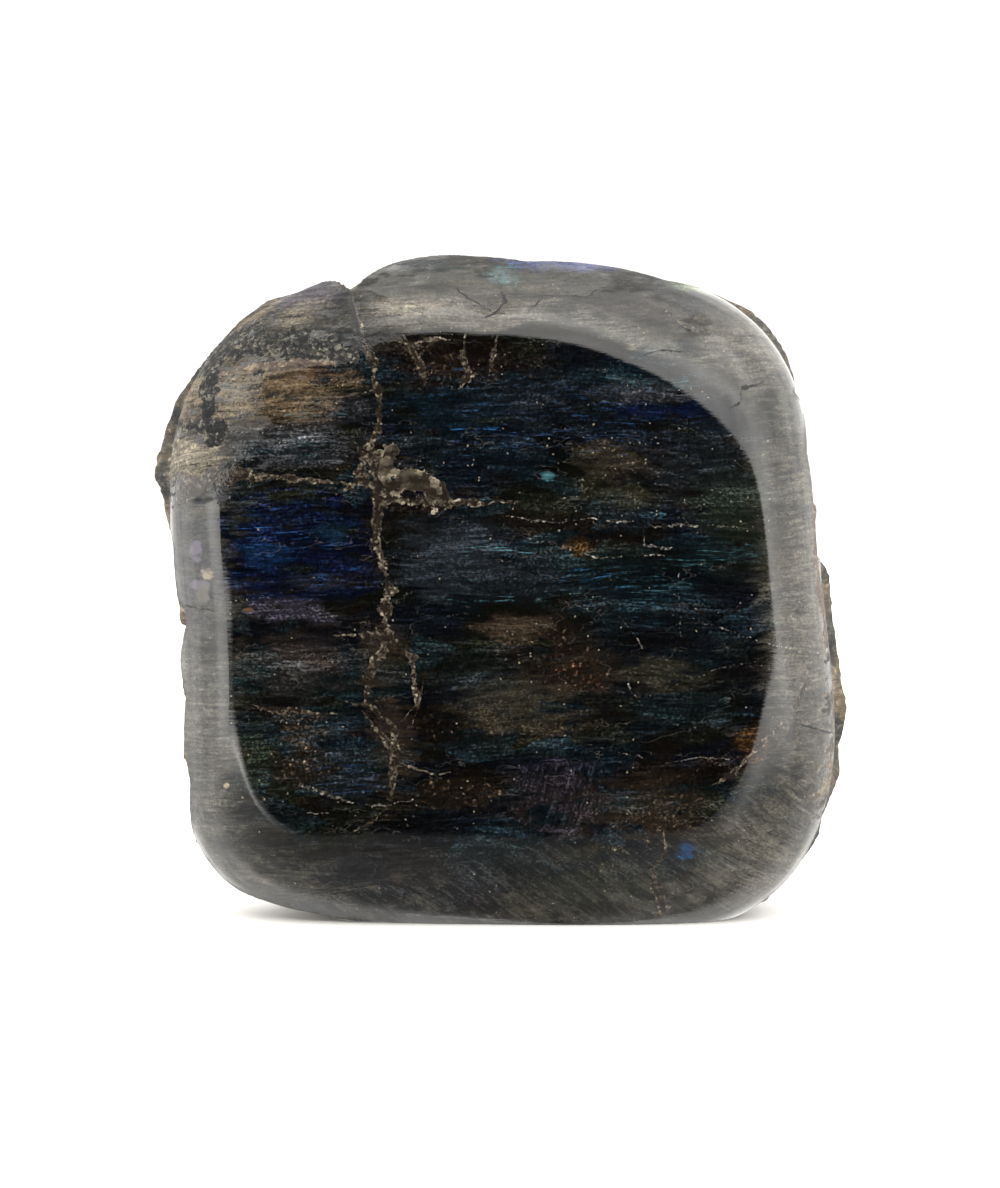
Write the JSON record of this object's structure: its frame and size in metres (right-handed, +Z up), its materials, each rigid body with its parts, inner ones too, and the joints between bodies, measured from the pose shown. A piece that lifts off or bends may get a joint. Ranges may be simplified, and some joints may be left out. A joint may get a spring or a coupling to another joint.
{
  "type": "labradorite chunk",
  "caption": "Upright chunk of rough labradorite with a ground and polished domed face, natural broken sides and back, and a flat ground base to stand on.",
  "frame": {"origin": "on the base plane, below the middle of the stone's box", "axes": "+Z up, -Y out of the polished face, +X to the right as seen from the front"},
  "size_m": [0.1266, 0.0531, 0.1202],
  "materials": {
    "labradorite": "dark grey-blue feldspar, polished on the front and its shoulders, rough natural break elsewhere"
  },
  "bodies": {
    "root": {"labradorite_chunk": "labradorite"}
  },
  "joints": []
}
